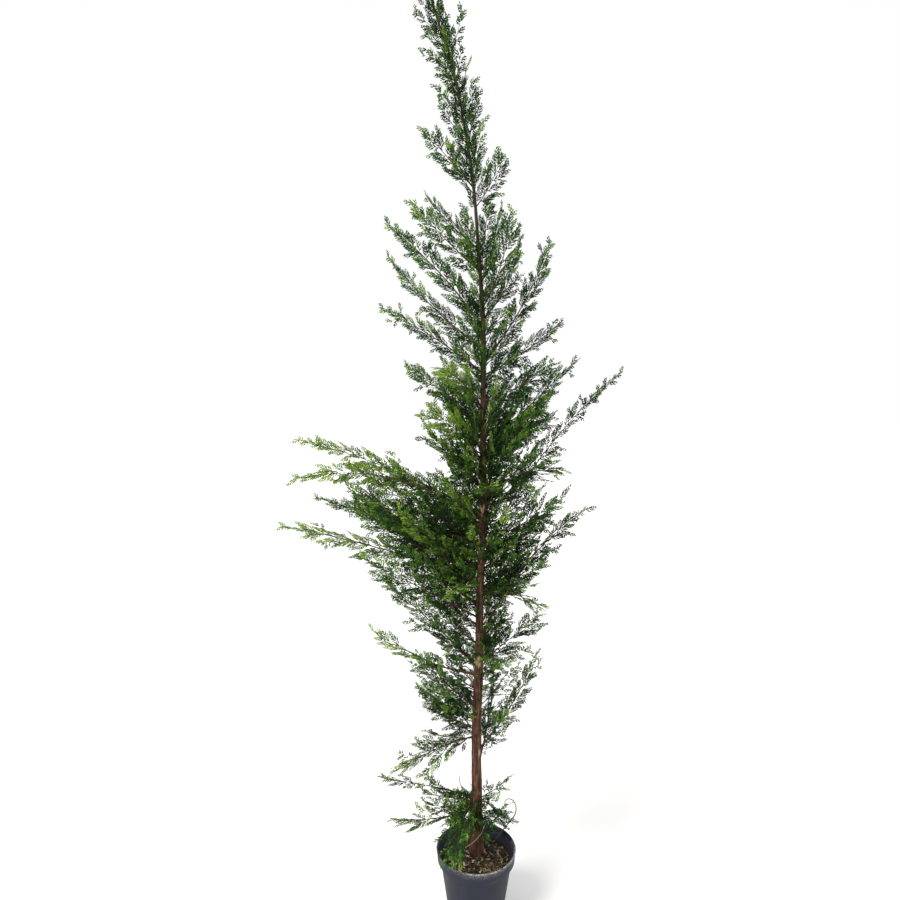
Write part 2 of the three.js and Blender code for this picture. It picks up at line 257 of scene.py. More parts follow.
def kites(lines, width, keel=0.3, widest=0.42):
    """Many small leaves as one mesh. Each is a kite from its line's foot to its tip, widest a little below
    its middle. Its two side corners are lifted off the line, which is the keel of a closed leaf."""
    middle, way = point_on(lines, widest), way_on(lines, widest)
    over = square_to(lines.face, way)
    across = np.cross(over, way) * width / 2
    middle = middle + over * width / 2 * keel
    tip = lines.root + lines.run + lines.bend
    points = np.stack([lines.root, middle - across, tip, middle + across], axis=1).reshape(-1, 3)
    faces = np.array([[0, 1, 3], [1, 2, 3], [0, 3, 2], [0, 2, 1]])
    return points, [(faces + 4 * np.arange(len(way))[:, None, None]).reshape(-1, 3)]


# ---- Reading the part ----


def node_faces(name):
    """The corners of a node's triangles, as (triangle, corner, axis)."""
    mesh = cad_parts[name].data
    points = np.zeros(len(mesh.vertices) * 3, np.float32)
    mesh.vertices.foreach_get("co", points)
    mesh.calc_loop_triangles()
    corners = np.zeros(len(mesh.loop_triangles) * 3, np.int32)
    mesh.loop_triangles.foreach_get("vertices", corners)
    return points.reshape(-1, 3)[corners].reshape(-1, 3, 3).astype(float)


def trunk_rings():
    """The middle and radius of each ring of the part's trunk, from the ground up. Its points are sorted by
    height, and a new ring begins wherever the height jumps."""
    points = np.unique(node_faces("trunk").reshape(-1, 3).round(6), axis=0)
    points = points[np.argsort(points[:, 2])]
    jumps = np.flatnonzero(np.diff(points[:, 2]) > 0.012) + 1
    rings = np.split(points, jumps)
    middles = np.array([ring.mean(0) for ring in rings])
    radii = np.array([np.linalg.norm(ring - ring.mean(0), axis=1).max() for ring in rings])
    return middles, radii


TRUNK_LINE, TRUNK_RADII = trunk_rings()


def trunk_at(height):
    """The trunk's middle at each height."""
    height = np.atleast_1d(height)
    x, y = (np.interp(height, TRUNK_LINE[:, 2], TRUNK_LINE[:, k]) for k in range(2))
    return np.stack([x, y, height], axis=-1)


def surface(name, cuts=4):
    """Points spread over a node's faces, by mixing each triangle's corners in all the even shares of a
    small grid, and the area that each stands for."""
    faces = node_faces(name)
    i, j = np.meshgrid(np.arange(cuts + 1), np.arange(cuts + 1))
    keep = i + j <= cuts
    mix = np.stack([i[keep], j[keep], (cuts - i - j)[keep]], axis=-1) / cuts
    area = np.linalg.norm(np.cross(faces[:, 1] - faces[:, 0], faces[:, 2] - faces[:, 0]), axis=1) / 2
    points = np.einsum("mk,fkx->fmx", mix, faces).reshape(-1, 3)
    return points, np.repeat(area / len(mix), len(mix)) + 1e-12


def laid_out(name):
    """A node's surface points, the area that each stands for, their middle, and three directions square to
    each other, from the one they spread least in to the one they spread most in, which leads off the
    trunk."""
    points, area = surface(name)
    centre = np.average(points, axis=0, weights=area)
    ways = np.linalg.eigh((points - centre).T @ ((points - centre) * area[:, None]))[1].T
    if ways[2] @ (centre - trunk_at(centre[2])[0]) < 0:
        ways[2] *= -1
    return points, area, centre, ways


def pad_of(name, bins=12):
    """A flat mass's line, plane and breadth. The plane is square to the way in which it spreads least, and
    the line is the parabola nearest to its surface. The breadth is how far the surface stands from the
    line, to its left and right, in each bin along it."""
    points, area, centre, (face, _, along) = laid_out(name)
    if face @ np.array([0.0, -0.35, 1.0]) < 0:
        face = -face
    across = np.cross(face, along)
    u, v, w = ((points - centre) @ way for way in (along, across, face))
    low, high = u.min(), u.max()
    t = (u - low) / (high - low)
    bow_v, bow_w = (np.polyfit(t, values, 2, w=np.sqrt(area)) for values in (v, w))
    line = [bow_v[2 - k] * across + bow_w[2 - k] * face for k in range(3)]
    root, run = centre + low * along + line[0], (high - low) * along + line[1]
    off = v - np.polyval(bow_v, t)
    place = np.minimum((t * bins).astype(int), bins - 1)
    breadth = np.zeros((2, bins))
    np.maximum.at(breadth[0], place, off)
    np.maximum.at(breadth[1], place, -off)
    return Lines(root[None], run[None], line[2][None], face[None]), breadth


def bar_of(name):
    """A bough's middle line from its foot to its end, as a parabola for each axis, and its radius along it,
    as a straight line's two numbers."""
    points, area, centre, (_, _, along) = laid_out(name)
    u = (points - centre) @ along
    t = (u - u.min()) / (u.max() - u.min())
    bow = np.polyfit(t, points, 2, w=np.sqrt(area))
    return bow, np.polyfit(t, np.linalg.norm(points - on_bow(bow, t), axis=1), 1)


def on_bow(bow, t):
    """Points on a bough's middle line."""
    return np.stack([np.polyval(bow[:, k], t) for k in range(3)], axis=-1)


# ---- Finishes ----


class Finish:
    """A material under way. Each method adds nodes, and gives back the socket of what it made."""

    def __init__(self, name, roughness, specular):
        self.material = bpy.data.materials.new(name)
        self.material.use_nodes = True
        self.tree = self.material.node_tree
        self.shader = self.tree.nodes["Principled BSDF"].inputs
        self.feed(self.shader["Roughness"], roughness)
        self.feed(self.shader["Specular IOR Level"], specular)

    def feed(self, socket, value):
        """Links another socket to this one, or sets it to a number, a vector or a colour."""
        if isinstance(value, bpy.types.NodeSocket):
            self.tree.links.new(value, socket)
        else:
            socket.default_value = (*value, 1) if socket.type == "RGBA" else value

    def node(self, kind, **inputs):
        node = self.tree.nodes.new("ShaderNode" + kind)
        for key, value in inputs.items():
            self.feed(node.inputs[key], value)
        return node

    def noise(self, scale, detail, stretch=(1, 1, 1)):
        """A noise in the piece's own coordinates, stretched along an axis where its share is under 1."""
        place = self.node("TexCoord").outputs["Object"]
        mapped = self.node("Mapping", Vector=place, Scale=stretch).outputs["Vector"]
        return self.node("TexNoise", Vector=mapped, Scale=scale, Detail=detail).outputs["Fac"]

    def number(self, name):
        """The number of this name on the piece's points."""
        node = self.node("Attribute")
        node.attribute_name = name
        return node.outputs["Fac"]

    def ramp(self, value, *stops):
        """Colours, or shares from black to white, at places from 0 to 1, blended between them."""
        node = self.node("ValToRGB", Fac=value)
        elements = node.color_ramp.elements
        while len(elements) < len(stops):
            elements.new(0.5)
        for element, (place, colour) in zip(elements, stops):
            element.position = place
            element.color = (*(colour if isinstance(colour, tuple) else (colour,) * 3), 1)
        return node.outputs["Color"]

    def mix(self, share, first, second, kind="MIX"):
        """One colour over another by a share. Each of the three is a value or a socket."""
        node = self.node("Mix")
        node.data_type, node.blend_type = "RGBA", kind
        for place, value in ((0, share), (6, first), (7, second)):
            self.feed(node.inputs[place], value)
        return node.outputs[2]

    def times(self, first, second):
        """Two colours multiplied."""
        return self.mix(1.0, first, second, "MULTIPLY")

    def colour(self, value):
        self.feed(self.shader["Base Color"], value)

    def bump(self, height, strength, distance):
        node = self.node("Bump", Height=height, Strength=strength, Distance=distance)
        self.feed(self.shader["Normal"], node.outputs["Normal"])


def tones(colour, darker, lighter):
    """A colour made darker and lighter by two shares."""
    colour = np.array(colour[:3])
    return tuple(colour * darker), tuple(np.minimum(colour * lighter, 1))


def toned_material(name, roughness, specular, key, stops, specks):
    """A tone from the stops by a number on the piece's points, times specks given as (fineness, darkest
    share, lightest share)."""
    finish = Finish(name, roughness, specular)
    tone = finish.ramp(finish.number(key), *stops)
    fineness, darkest, lightest = specks
    fine = finish.ramp(finish.noise(fineness, 3), (0.3, darkest), (0.7, lightest))
    finish.colour(finish.times(tone, fine))
    return finish.material


# ---- The pot ----

BAND_STEP = 0.008  # how far the upright band stands out from the tapering wall
BAND_INSET = 0.003  # how far the band stays inside the rim
FOOT_TURN = 0.004  # the radius of the wall's turn into the underside
LIP = 0.0019  # the rolled lip's radius
BASE = 0.003  # the height of the pot's inside floor
DUSTY = 0.008  # how far the dust reaches down from the rim
DRAIN_HOLES = 8
DRAIN_RADIUS = 0.005
DRAIN_HEIGHT = 0.009
DRAIN_BAR = 0.021  # the length of the bars that cut the holes


def arc(radius, height, turn, first, last, count):
    """Points of (radius, height) on part of a circle of the radius turn, from one angle to another."""
    angle = np.linspace(first, last, count)
    return np.stack([radius + turn * np.cos(angle), height + turn * np.sin(angle)], axis=-1)


def pot_profile(pot):
    """The pot's section, as (radius, height): out over the underside, up the tapering wall and the band
    that stands out from it, over the rolled lip, and down inside."""
    rim, top, foot = pot.rim_radius, pot.height, pot.foot_radius
    band, band_foot = rim - BAND_INSET, top - pot.band
    wall_top = band - BAND_STEP
    rise = np.linspace(0.02, 1, 14)
    return np.concatenate([
        [(0.001, 0.0), (foot * 0.5, 0.0)],
        arc(foot - FOOT_TURN, FOOT_TURN, FOOT_TURN, -np.pi / 2, 1.4 - np.pi / 2, 6),
        np.stack([foot + (wall_top - foot) * rise, 0.006 + (band_foot - 0.008) * rise], axis=-1),
        [(band - 0.002, band_foot - 0.0006), (band, band_foot + 0.0008)],
        [(band + 0.0006, band_foot + 0.012), (rim - 0.0012, top - 0.005)],
        arc(rim - 0.002, top - LIP, LIP, 0, np.pi, 9),
        [(rim - 0.0042, top - 0.004), (band - pot.wall, band_foot + pot.wall)],
        [(wall_top - pot.wall, band_foot + pot.wall - 0.002), (foot - pot.wall, BASE), (0.001, BASE)],
    ])


def plastic(pot):
    """Dull dark plastic, with pale dust on the lip and faint scuffs down the wall."""
    finish = Finish("nursery_plastic", 0.55, 0.2)
    cloud = finish.noise(34, 6, (1, 1, 0.5))
    dark, light = tones(pot.colour, 0.8, 1.5)
    base = finish.ramp(cloud, (0.35, dark), (0.75, light))
    speck = finish.noise(210, 5)
    patch = finish.ramp(finish.noise(22, 4), (0.38, 0.0), (0.54, 1.0))
    scuffs = finish.ramp(speck, (0.36, 0.0), (0.58, 1.0))
    share = finish.times(finish.times(patch, scuffs), finish.number("dust"))
    finish.colour(finish.mix(share, base, pot.dust_colour[:]))
    finish.feed(finish.shader["Roughness"], finish.ramp(cloud, (0.3, 0.45), (0.7, 0.7)))
    finish.bump(speck, 0.25, 0.0006)
    return finish.material


def make_pot(pot):
    """The profile turned round the pot's axis, with a number for the dust near the lip."""
    rings = turned_profile(pot_profile(pot), 128)
    dust = ease(rings[..., 2], pot.height - DUSTY, pot.height)
    dust = dust * ease(np.hypot(rings[..., 0], rings[..., 1]), 0.085, 0.1)
    piece = add_piece("pot_shell", *skin(rings), plastic(pot), "pot", ["pot"], dust=spread_to_ends(dust))
    drain(piece, pot)


def drain(piece, pot):
    """Holes round the foot's edge, cut by short round bars laid outwards through it."""
    out = round_axis((np.arange(DRAIN_HOLES) + 0.5) / DRAIN_HOLES * 2 * np.pi + np.pi / 2)
    foot = out * (pot.foot_radius - DRAIN_BAR / 2) + UP * DRAIN_HEIGHT
    bars = Lines(foot, out * DRAIN_BAR, out * 0.0, np.tile(UP, (DRAIN_HOLES, 1)))
    points, faces = stalks(bars, np.full((DRAIN_HOLES, 2), DRAIN_RADIUS), np.array([0.02, 0.98]), 20)
    mesh = bpy.data.meshes.new("drain_bars")
    mesh.from_pydata(points.tolist(), [], [face for block in faces for face in block.tolist()])
    cutter = bpy.data.objects.new("drain_bars", mesh)
    bpy.context.scene.collection.objects.link(cutter)
    cut = piece.modifiers.new("drain", "BOOLEAN")
    cut.object, cut.operation, cut.solver = cutter, "DIFFERENCE", "EXACT"
    made = bpy.data.meshes.new_from_object(piece.evaluated_get(bpy.context.evaluated_depsgraph_get()))
    piece.modifiers.clear()
    bpy.data.objects.remove(cutter)
    piece.data = made
    made.name = "pot_shell"


# ---- The compost ----

FALL = 0.009  # how far the compost falls from the trunk to the wall
COMPOST_GRID = (70, 160)  # rings over the top, and points in each
# What lies on the compost: its shortest and longest, its width as a share of its length, its slot, the way
# round that it lies thickest, how high it lies, how much more of it is dark than pale, and its tones.
SCATTERED = {
    "bark_chips": (
        (0.005, 0.017), 0.21, "compost", -np.pi / 2, 0.0016, 2.2,
        ((0.0, (0.02, 0.012, 0.008)), (0.5, (0.09, 0.05, 0.03)), (0.95, (0.52, 0.38, 0.25))),
    ),
    "fallen_tips": (
        (0.006, 0.014), 0.13, "foliage", -np.pi / 4, 0.003, 1,
        ((0.0, (0.05, 0.035, 0.018)), (0.5, (0.12, 0.12, 0.04)), (1.0, (0.30, 0.25, 0.11))),
    ),
}


def compost_radii():
    """The compost's radius at its foot, and at its widest less a hair, from the part."""
    points = node_faces("soil").reshape(-1, 3)
    radius = np.hypot(points[:, 0], points[:, 1])
    return radius[points[:, 2] < SOIL_LOW.z + 0.001].max(), radius.max() - 0.0002


def compost_height(share):
    """The compost's height from its middle to its edge: level by the trunk, then falling to the wall."""
    return SOIL_HIGH.z - FALL * ease(share, 0.2, 1.1)


def earth(soil):
    """Nearly black, damp and crumbly, with browner crumbs."""
    finish = Finish("damp_compost", 0.9, 0.3)
    dark, light = tones(soil.colour, 0.6, 3.4)
    crumbs = finish.noise(190, 6)
    finish.colour(finish.ramp(crumbs, (0.42, dark), (0.7, light)))
    finish.bump(crumbs, 0.9, 0.003)
    return finish.material


def make_compost(soil):
    """Rings from the middle of the underside out to the foot, up the wall, and over the top to its middle.
    The top is raised and sunk by lumps of two sizes."""
    rng = np.random.default_rng(soil.seed)
    foot, edge = compost_radii()
    rows, around = COMPOST_GRID
    u, v = np.meshgrid(np.arange(around) / around, np.linspace(0.02, 1, rows))
    lumps = 0.6 * grain(rng, u, v, 26, 16) + 0.4 * grain(rng, u, v, 60, 38) - 0.5
    top = compost_height(v) + soil.lumps * lumps * ease(v, 0.02, 0.2) * 2 * ease(v, 1.02, 0.94)
    crown = round_axis(2 * np.pi * u, v * edge, top)
    wall = [(0.002, SOIL_LOW.z), (foot, SOIL_LOW.z), (edge, compost_height(1.0) - 0.004)]
    shell = skin(np.concatenate([turned_profile(wall, around), crown[::-1]]))
    add_piece("compost", *shell, earth(soil), "compost", ["soil"])
    scatter("bark_chips", soil.chips, edge, rng)
    scatter("fallen_tips", soil.litter, edge, rng)


def scatter(name, count, edge, rng):
    """Flat four-sided stalks at random places, thickest to one way round, each lying nearly flat and turned
    at random, with a tone of its own."""
    span, width, slot, thickest, lift, darkness, scale = SCATTERED[name]
    share = np.sqrt(rng.uniform(0.03, 0.9, count))
    turn = rng.normal(thickest, 0.9, count)
    long = rng.uniform(*span, count) * rng.uniform(0.6, 1, count)
    way = rng.uniform(0, 2 * np.pi, count)
    run = round_axis(way, 1.0, rng.normal(0, 0.18, count)) * long[:, None]
    middle = round_axis(turn, share * edge, compost_height(share) + lift)
    ends = np.stack([middle + run / 2, middle - run / 2])
    inside = (np.hypot(ends[..., 0], ends[..., 1]) < edge - 0.002).all(axis=0)
    face = unit(UP + rng.normal(0, 0.25, (count, 3)))
    lines = chosen(Lines(middle - run / 2, run, np.zeros_like(run), face), inside)
    thick = (length_of(lines) * width * rng.uniform(0.6, 1.2, inside.sum()))[:, None] * np.array([1, 0.9])
    points, faces = stalks(lines, thick, np.array([0.12, 0.86]), 4, 0.35)
    tone = np.repeat(rng.random(inside.sum()) ** darkness, len(points) // inside.sum())
    material = toned_material(name, 0.85, 0.2, "tone", scale, (600, 0.6, 1.2))
    add_piece(name, points, faces, material, slot, smooth=False, tone=tone)


# ---- The trunk and the bare boughs ----

TRUNK_GRID = (760, 56)  # rings, and points in each
BOUGH_GRID = (70, 20)
COLLAR = 0.14  # how far the bark swells under a limb, as a share of the trunk's radius
COLLAR_WIDTH = 0.007  # how far from the limb the swelling reaches
WANDER = 0.0012  # how far the trunk's line strays from side to side
LOBES = 5  # round the root flare
FLARE = 0.045  # how far the lobes reach up the trunk
# Where strips have peeled: the height, the way round as a share of a turn, and half the height and breadth.
PEELED = (
    (0.71, 0.72, 0.020, 0.16),
    (1.11, 0.70, 0.024, 0.14),
    (1.01, 0.58, 0.035, 0.09),
    (0.47, 0.80, 0.016, 0.10),
)


def bark_material(bark):
    """Stringy bark: dark in its grooves and red-brown on its ridges, with fine fibres up the stem, greener
    where the wood is young and pale where it has peeled. The grooves' darkness is partly the bark's own
    colour and partly painted shade in the furrows."""
    finish = Finish("cypress_bark", 0.85, 0.12)
    fibre = finish.noise(420, 5, (1, 1, 0.06))
    # Darker in the grooves: partly the bark's own colour, partly painted shade in the furrows.
    depths = (0.15, bark.groove_colour[:]), (0.6, bark.colour[:]), (0.95, bark.ridge_colour[:])
    furrow_shade_and_ridge_wear = finish.ramp(finish.number("ridge"), *depths)
    old = finish.times(furrow_shade_and_ridge_wear, finish.ramp(fibre, (0.35, (0.45, 0.42, 0.4)), (0.62, (1.25, 1.2, 1.15))))
    young = finish.mix(finish.number("young"), old, bark.young_colour[:])
    finish.colour(finish.mix(finish.number("peel"), young, bark.peel_colour[:]))
    finish.bump(fibre, 0.6, 0.0008)
    return finish.material


def ridges(rng, u, v, cells):
    """Long ridges, from 0 in the grooves to 1: one less twice a grain's distance from its middle, in two
    sizes, on lines that wander a little round the stem."""
    u = u + 0.06 * grain(rng, u, v, 3, max(cells // 6, 1))
    broad = 1 - np.abs(2 * grain(rng, u, v, 15, cells) - 1)
    fine = 1 - np.abs(2 * grain(rng, u, v, 34, cells * 3) - 1)
    return np.clip(0.65 * broad + 0.35 * fine, 0, 1)


def make_trunk(bark, rng, material):
    """The part's own middle line, wandering a little, and its radius, which swells by the ridges' relief,
    in a collar at each limb, and in five soft lobes at the root flare."""
    rows, around = TRUNK_GRID
    t = np.linspace(0, 1, rows)
    line = through(TRUNK_LINE, t)
    wander = WANDER * ease(t, 0, 0.05)
    line[:, 0] += wander * np.sin(t * 37)
    line[:, 1] += wander * np.cos(t * 29 + 1)
    base = np.interp(line[:, 2], TRUNK_LINE[:, 2], TRUNK_RADII)[:, None]
    u, v = np.meshgrid(np.arange(around) / around, t)
    ridge = ridges(rng, u, v, 54)
    surface_points, out = sweep(line, base + np.zeros_like(u), around, np.array([1.0, 0, 0]))
    flare = ease(line[:, 2], SOIL_HIGH.z + FLARE, SOIL_HIGH.z)[:, None]
    lobes = 0.10 * np.sin(LOBES * 2 * np.pi * u + 1) * flare
    radii = base * (1 + bark.relief * (ridge - 0.5) * 2 + lobes)
    for name in PADS + BOUGHS:
        points = node_faces(name).reshape(-1, 3)
        near = points[np.argmin(np.hypot(*(points - trunk_at(points[:, 2])).T[:2]))]
        gap = np.linalg.norm(surface_points - near, axis=-1)
        radii = radii + COLLAR * base * np.exp(-((gap / COLLAR_WIDTH) ** 2))
    height = line[:, 2][:, None] + np.zeros_like(u)
    peel = np.zeros_like(u)
    for middle, turn, tall, wide in PEELED:
        aside = np.abs((u - turn + 0.5) % 1 - 0.5)
        peel = np.maximum(peel, ease(1 - ((height - middle) / tall) ** 2 - (aside / wide) ** 2, 0, 0.6))
    peel = peel * ease(grain(rng, u, v, 18, 260), 0.25, 0.6) * 0.85
    numbers = {"ridge": ridge, "peel": peel, "young": ease(height, 1.0, 1.7) * 0.8}
    numbers = {key: spread_to_ends(values) for key, values in numbers.items()}
    points, faces = skin(line[:, None] + out * radii[..., None])
    add_piece("trunk_bark", points, faces, material, "bark", ["trunk"], **numbers)


def make_boughs(bark, rng, material):
    """Each bare bough on the part's line and taper, with the same relief, set a little into the trunk and
    on into its foliage, and thicker at its foot."""
    rows, around = BOUGH_GRID
    meshes, numbers = [], {"ridge": [], "peel": [], "young": []}
    for name in BOUGHS:
        bow, taper = bar_of(name)
        t = np.linspace(-0.03, 1.04, rows)
        u, v = np.meshgrid(np.arange(around) / around, np.linspace(0, 1, rows))
        ridge = ridges(rng, u, v, 9)
        base = np.polyval(taper, t)[:, None] * 1.04 + 0.0022 * np.exp(-(t / 0.09) ** 2)[:, None]
        rings, _ = sweep(on_bow(bow, t), base * (1 + bark.relief * (ridge - 0.5) * 1.6), around, UP)
        meshes.append(skin(rings))
        for key, values in (("ridge", ridge), ("peel", ridge * 0), ("young", ridge * 0 + 0.12)):
            numbers[key].append(spread_to_ends(values))
    numbers = {key: np.concatenate(values) for key, values in numbers.items()}
    add_piece("bough_bark", *put_together(meshes), material, "bark", BOUGHS, **numbers)


# ---- Where growth springs ----

# How each mass differs from the rest: brighter or duller, as a step on the scale of greens. The step is
# mostly painted light: masses in the sun are painted brighter, and those in shade, as at the back, darker.
MASS_SUN_AND_SHADE = {
    "bright_plume": 0.62,
    "bright_left": 0.65,
    "arching_left": 0.5,
    "nodding_left": 0.45,
    "long_left": 0.45,
    "level_left": 0.45,
    "foot_front": -0.15,
    "mid_front": 0.1,
    "front_left": 0.3,
    "dark_left": -0.35,
    "dark_tuft": -0.4,
    "dark_right": -0.3,
    "forked_right": -0.2,
    "tufted_left": -0.3,
    "lower_back": -0.4,
    "mid_back": -0.4,
}
# Small boughs fill the crown between the masses, and single twigs grow straight from the trunk. Each row
# gives the lowest and highest foot, how many there are, and their reach.
SMALL_BOUGHS = (
    (0.27, 0.36, 8, 0.11),
    (0.50, 0.85, 34, 0.16),
    (0.85, 1.30, 84, 0.22),
    (1.30, 1.50, 16, 0.16),
    (1.50, 1.72, 10, 0.12),
    (1.86, 2.08, 16, 0.115),
    (2.08, 2.32, 22, 0.09),
)
TRUNK_TWIGS = (
    (0.24, 0.34, 16, 0.06),
    (0.50, 0.95, 34, 0.055),
    (0.95, 1.74, 100, 0.07),
    (1.84, 2.33, 60, 0.05),
)
# Boughs with a place of their own. Each row gives the foot's height, the way it goes round from the right
# and towards the back in degrees, its reach, its lean off the trunk in degrees, and how bright its sprays
# are, a step that is mostly painted sunlight and shade.
SIDE_BOUGHS = (
    (0.315, 186, 0.17, 68, -0.1),
    (0.300, 218, 0.15, 72, 0.3),
    (0.290, 318, 0.13, 80, -0.5),
    (0.330, 350, 0.12, 60, 0.1),
    (0.305, 252, 0.12, 122, 0.0),
    (0.300, 288, 0.10, 124, -0.3),
    (0.335, 200, 0.19, 84, 0.1),
    (0.310, 196, 0.18, 88, -0.3),
    (0.330, 236, 0.14, 104, 0.0),
    (0.325, 258, 0.13, 110, 0.1),
    (0.320, 222, 0.13, 112, 0.0),
    (0.320, 300, 0.11, 108, -0.1),
    (0.50, 200, 0.17, 86, -0.2),
    (0.53, 188, 0.16, 78, -0.3),
    (0.55, 178, 0.19, 66, -0.3),
    (0.52, 204, 0.24, 60, -0.4),
    (0.58, 190, 0.20, 54, -0.3),
    (0.63, 214, 0.20, 58, -0.2),
    (0.69, 188, 0.22, 50, -0.3),
    (0.75, 204, 0.24, 54, -0.1),
    (0.80, 184, 0.27, 60, -0.4),
    (0.86, 197, 0.29, 62, -0.2),
    (0.91, 178, 0.29, 66, -0.4),
    (0.94, 192, 0.37, 68, -0.3),
    (0.96, 207, 0.31, 66, 0.0),
    (0.98, 180, 0.40, 76, -0.6),
    (0.95, 190, 0.42, 74, -0.2),
    (1.00, 188, 0.43, 77, -0.4),
    (1.02, 196, 0.42, 76, -0.4),
    (1.04, 176, 0.31, 66, -0.4),
    (1.06, 184, 0.40, 78, -0.4),
    (0.74, 350, 0.14, 35, 0.1),
    (0.84, 176, 0.18, 62, -0.3),
    (0.86, 5, 0.20, 50, -0.1),
    (0.88, 358, 0.24, 66, -0.1),
    (0.90, 208, 0.21, 56, 0.1),
    (0.90, 350, 0.27, 50, 0.0),
    (0.97, 2, 0.25, 62, -0.3),
    (0.95, 345, 0.22, 55, 0.1),
    (0.94, 184, 0.22, 52, -0.2),
    (0.99, 200, 0.21, 46, -0.3),
    (1.00, 170, 0.22, 50, -0.2),
    (1.05, 192, 0.20, 44, -0.1),
    (1.06, 216, 0.20, 52, 0.3),
    (1.10, 350, 0.24, 46, -0.1),
    (1.16, 214, 0.20, 54, 0.3),
    (1.20, 232, 0.19, 50, 0.4),
    (1.20, 340, 0.22, 44, 0.2),
    (1.22, 355, 0.26, 52, 0.1),
    (1.24, 8, 0.25, 58, -0.2),
    (1.30, 350, 0.20, 46, 0.0),
    (1.66, 350, 0.20, 22, 0.1),
    (1.68, 10, 0.19, 11, 0.0),
    (1.69, 195, 0.16, 14, 0.2),
    (2.05, 190, 0.10, 40, 0.1),
    (2.13, 196, 0.10, 38, 0.1),
    (2.20, 186, 0.07, 36, 0.2),
)
LEAN_HEIGHTS = (0.3, 0.8, 1.3, 1.8, 2.3)  # how far the small boughs lean off the trunk at these heights
LEANS = (74, 62, 52, 42, 34)
SIDE_BREADTH = 0.2  # a side bough's breadth to each side, as a share of its reach
SMALL_BREADTH = np.interp(np.linspace(0, 1, 12), (0, 0.15, 0.5, 1), (0.5, 1.0, 0.85, 0.2))
BOUGH_END = 0.96  # the share of a bare bough at which its mass's stem takes over
BRANCH_STEP = 0.026
LONGEST_BRANCH = 0.11
# The tints are lit and shaded copies of the leaves' green: shade and deep are painted shade, bright and
# sunlit painted sunlight, mid between them. A spray takes the tint of its score, which also holds a random
# difference of its own.
TINTS = ("shade", "deep", "mid", "bright", "sunlit")
TINT_STEPS = (-0.2, 0.3, 0.75, 1.25)
SPLIT_HEIGHT = 1.12  # the sprays are joined in two storeys, below and above this


def off_trunk(height, turn, reach, lean, bow, rng):
    """Lines that spring from the trunk at these heights, turned round it and leaning off it, and bow by a
    share back towards its way. Their planes face up along it, tipped to one side or the other."""
    count = len(height)
    trunk_way = unit(trunk_at(height + 0.02) - trunk_at(height - 0.02))
    out = square_to(round_axis(turn), trunk_way)
    way = trunk_way * np.cos(lean)[:, None] + out * np.sin(lean)[:, None]
    tip = np.radians(rng.normal(55, 18, count) * rng.choice([-1, 1], count))[:, None]
    face = square_to(trunk_way, way) * np.cos(tip) + np.cross(way, square_to(trunk_way, way)) * np.sin(tip)
    return Lines(trunk_at(height), way * reach[:, None], (trunk_way - way) * bow * reach[:, None], face)


def from_trunk(rows, rng, bow):
    """Lines from the trunk by rows of (lowest, highest, count, reach), each a golden turn round from the
    one before, leaning off the trunk less and less with height."""
    parts = [(np.linspace(low, high, n, endpoint=False), np.full(n, reach)) for low, high, n, reach in rows]
    height, reach = (np.concatenate(part) for part in zip(*parts))
    count = len(height)
    height = height + rng.uniform(-0.006, 0.006, count)
    turn = np.arange(count) * GOLDEN_ANGLE + rng.uniform(-0.4, 0.4, count)
    lean = np.radians(np.interp(height, LEAN_HEIGHTS, LEANS) + rng.normal(0, 6, count))
    return off_trunk(height, turn, reach * rng.uniform(0.65, 1.1, count), lean, bow, rng)


def stations(lengths, step, first, last, rng):
    """Places for side growth: one each step of a line's length between two shares of it, a little uneven,
    and to either side in turn. Gives which line, the share of it and the side."""
    counts = np.maximum(((last - first) * lengths / step).astype(int), 0)
    index = np.repeat(np.arange(len(lengths)), counts)
    order = np.arange(len(index)) - np.repeat(np.cumsum(counts) - counts, counts)
    share = first + (last - first) * (order + 0.5 + rng.uniform(-0.3, 0.3, len(index))) / counts[index]
    return index, share, np.where(order % 2, 1.0, -1.0)


def side_growth(parent, index, share, side, lean, reach, roll, droop, forward=0.22):
    """Lines that spring from other lines. Each leaves its parent at the lean, to its side in the parent's
    plane and rolled out of it about the parent. It runs for its reach, bends forward by a share of the turn
    that is left, and sags by its droop."""
    way = way_on(parent, share, index)
    face = square_to(parent.face[index], way)
    beside = np.cross(face, way) * side[:, None]
    c, s = np.cos(roll)[:, None], np.sin(roll)[:, None]
    out = beside * c + face * s
    plane = face * c - beside * s
    start = way * np.cos(lean)[:, None] + out * np.sin(lean)[:, None]
    bend = (way - start) * forward - UP * droop[:, None]
    return Lines(point_on(parent, share, index), start * reach[:, None], bend * reach[:, None], plane)


# ---- Stems, branches, twigs and sprays ----


def foot_radius(lines):
    """A stem's radius at its foot: thicker the longer it is."""
    return 0.0006 + 0.0075 * length_of(lines)


def both_sides(scale):
    """The small boughs' outline, scaled for each of them, as breadths to both sides."""
    return np.repeat((SMALL_BREADTH * scale[:, None])[:, None], 2, axis=1)


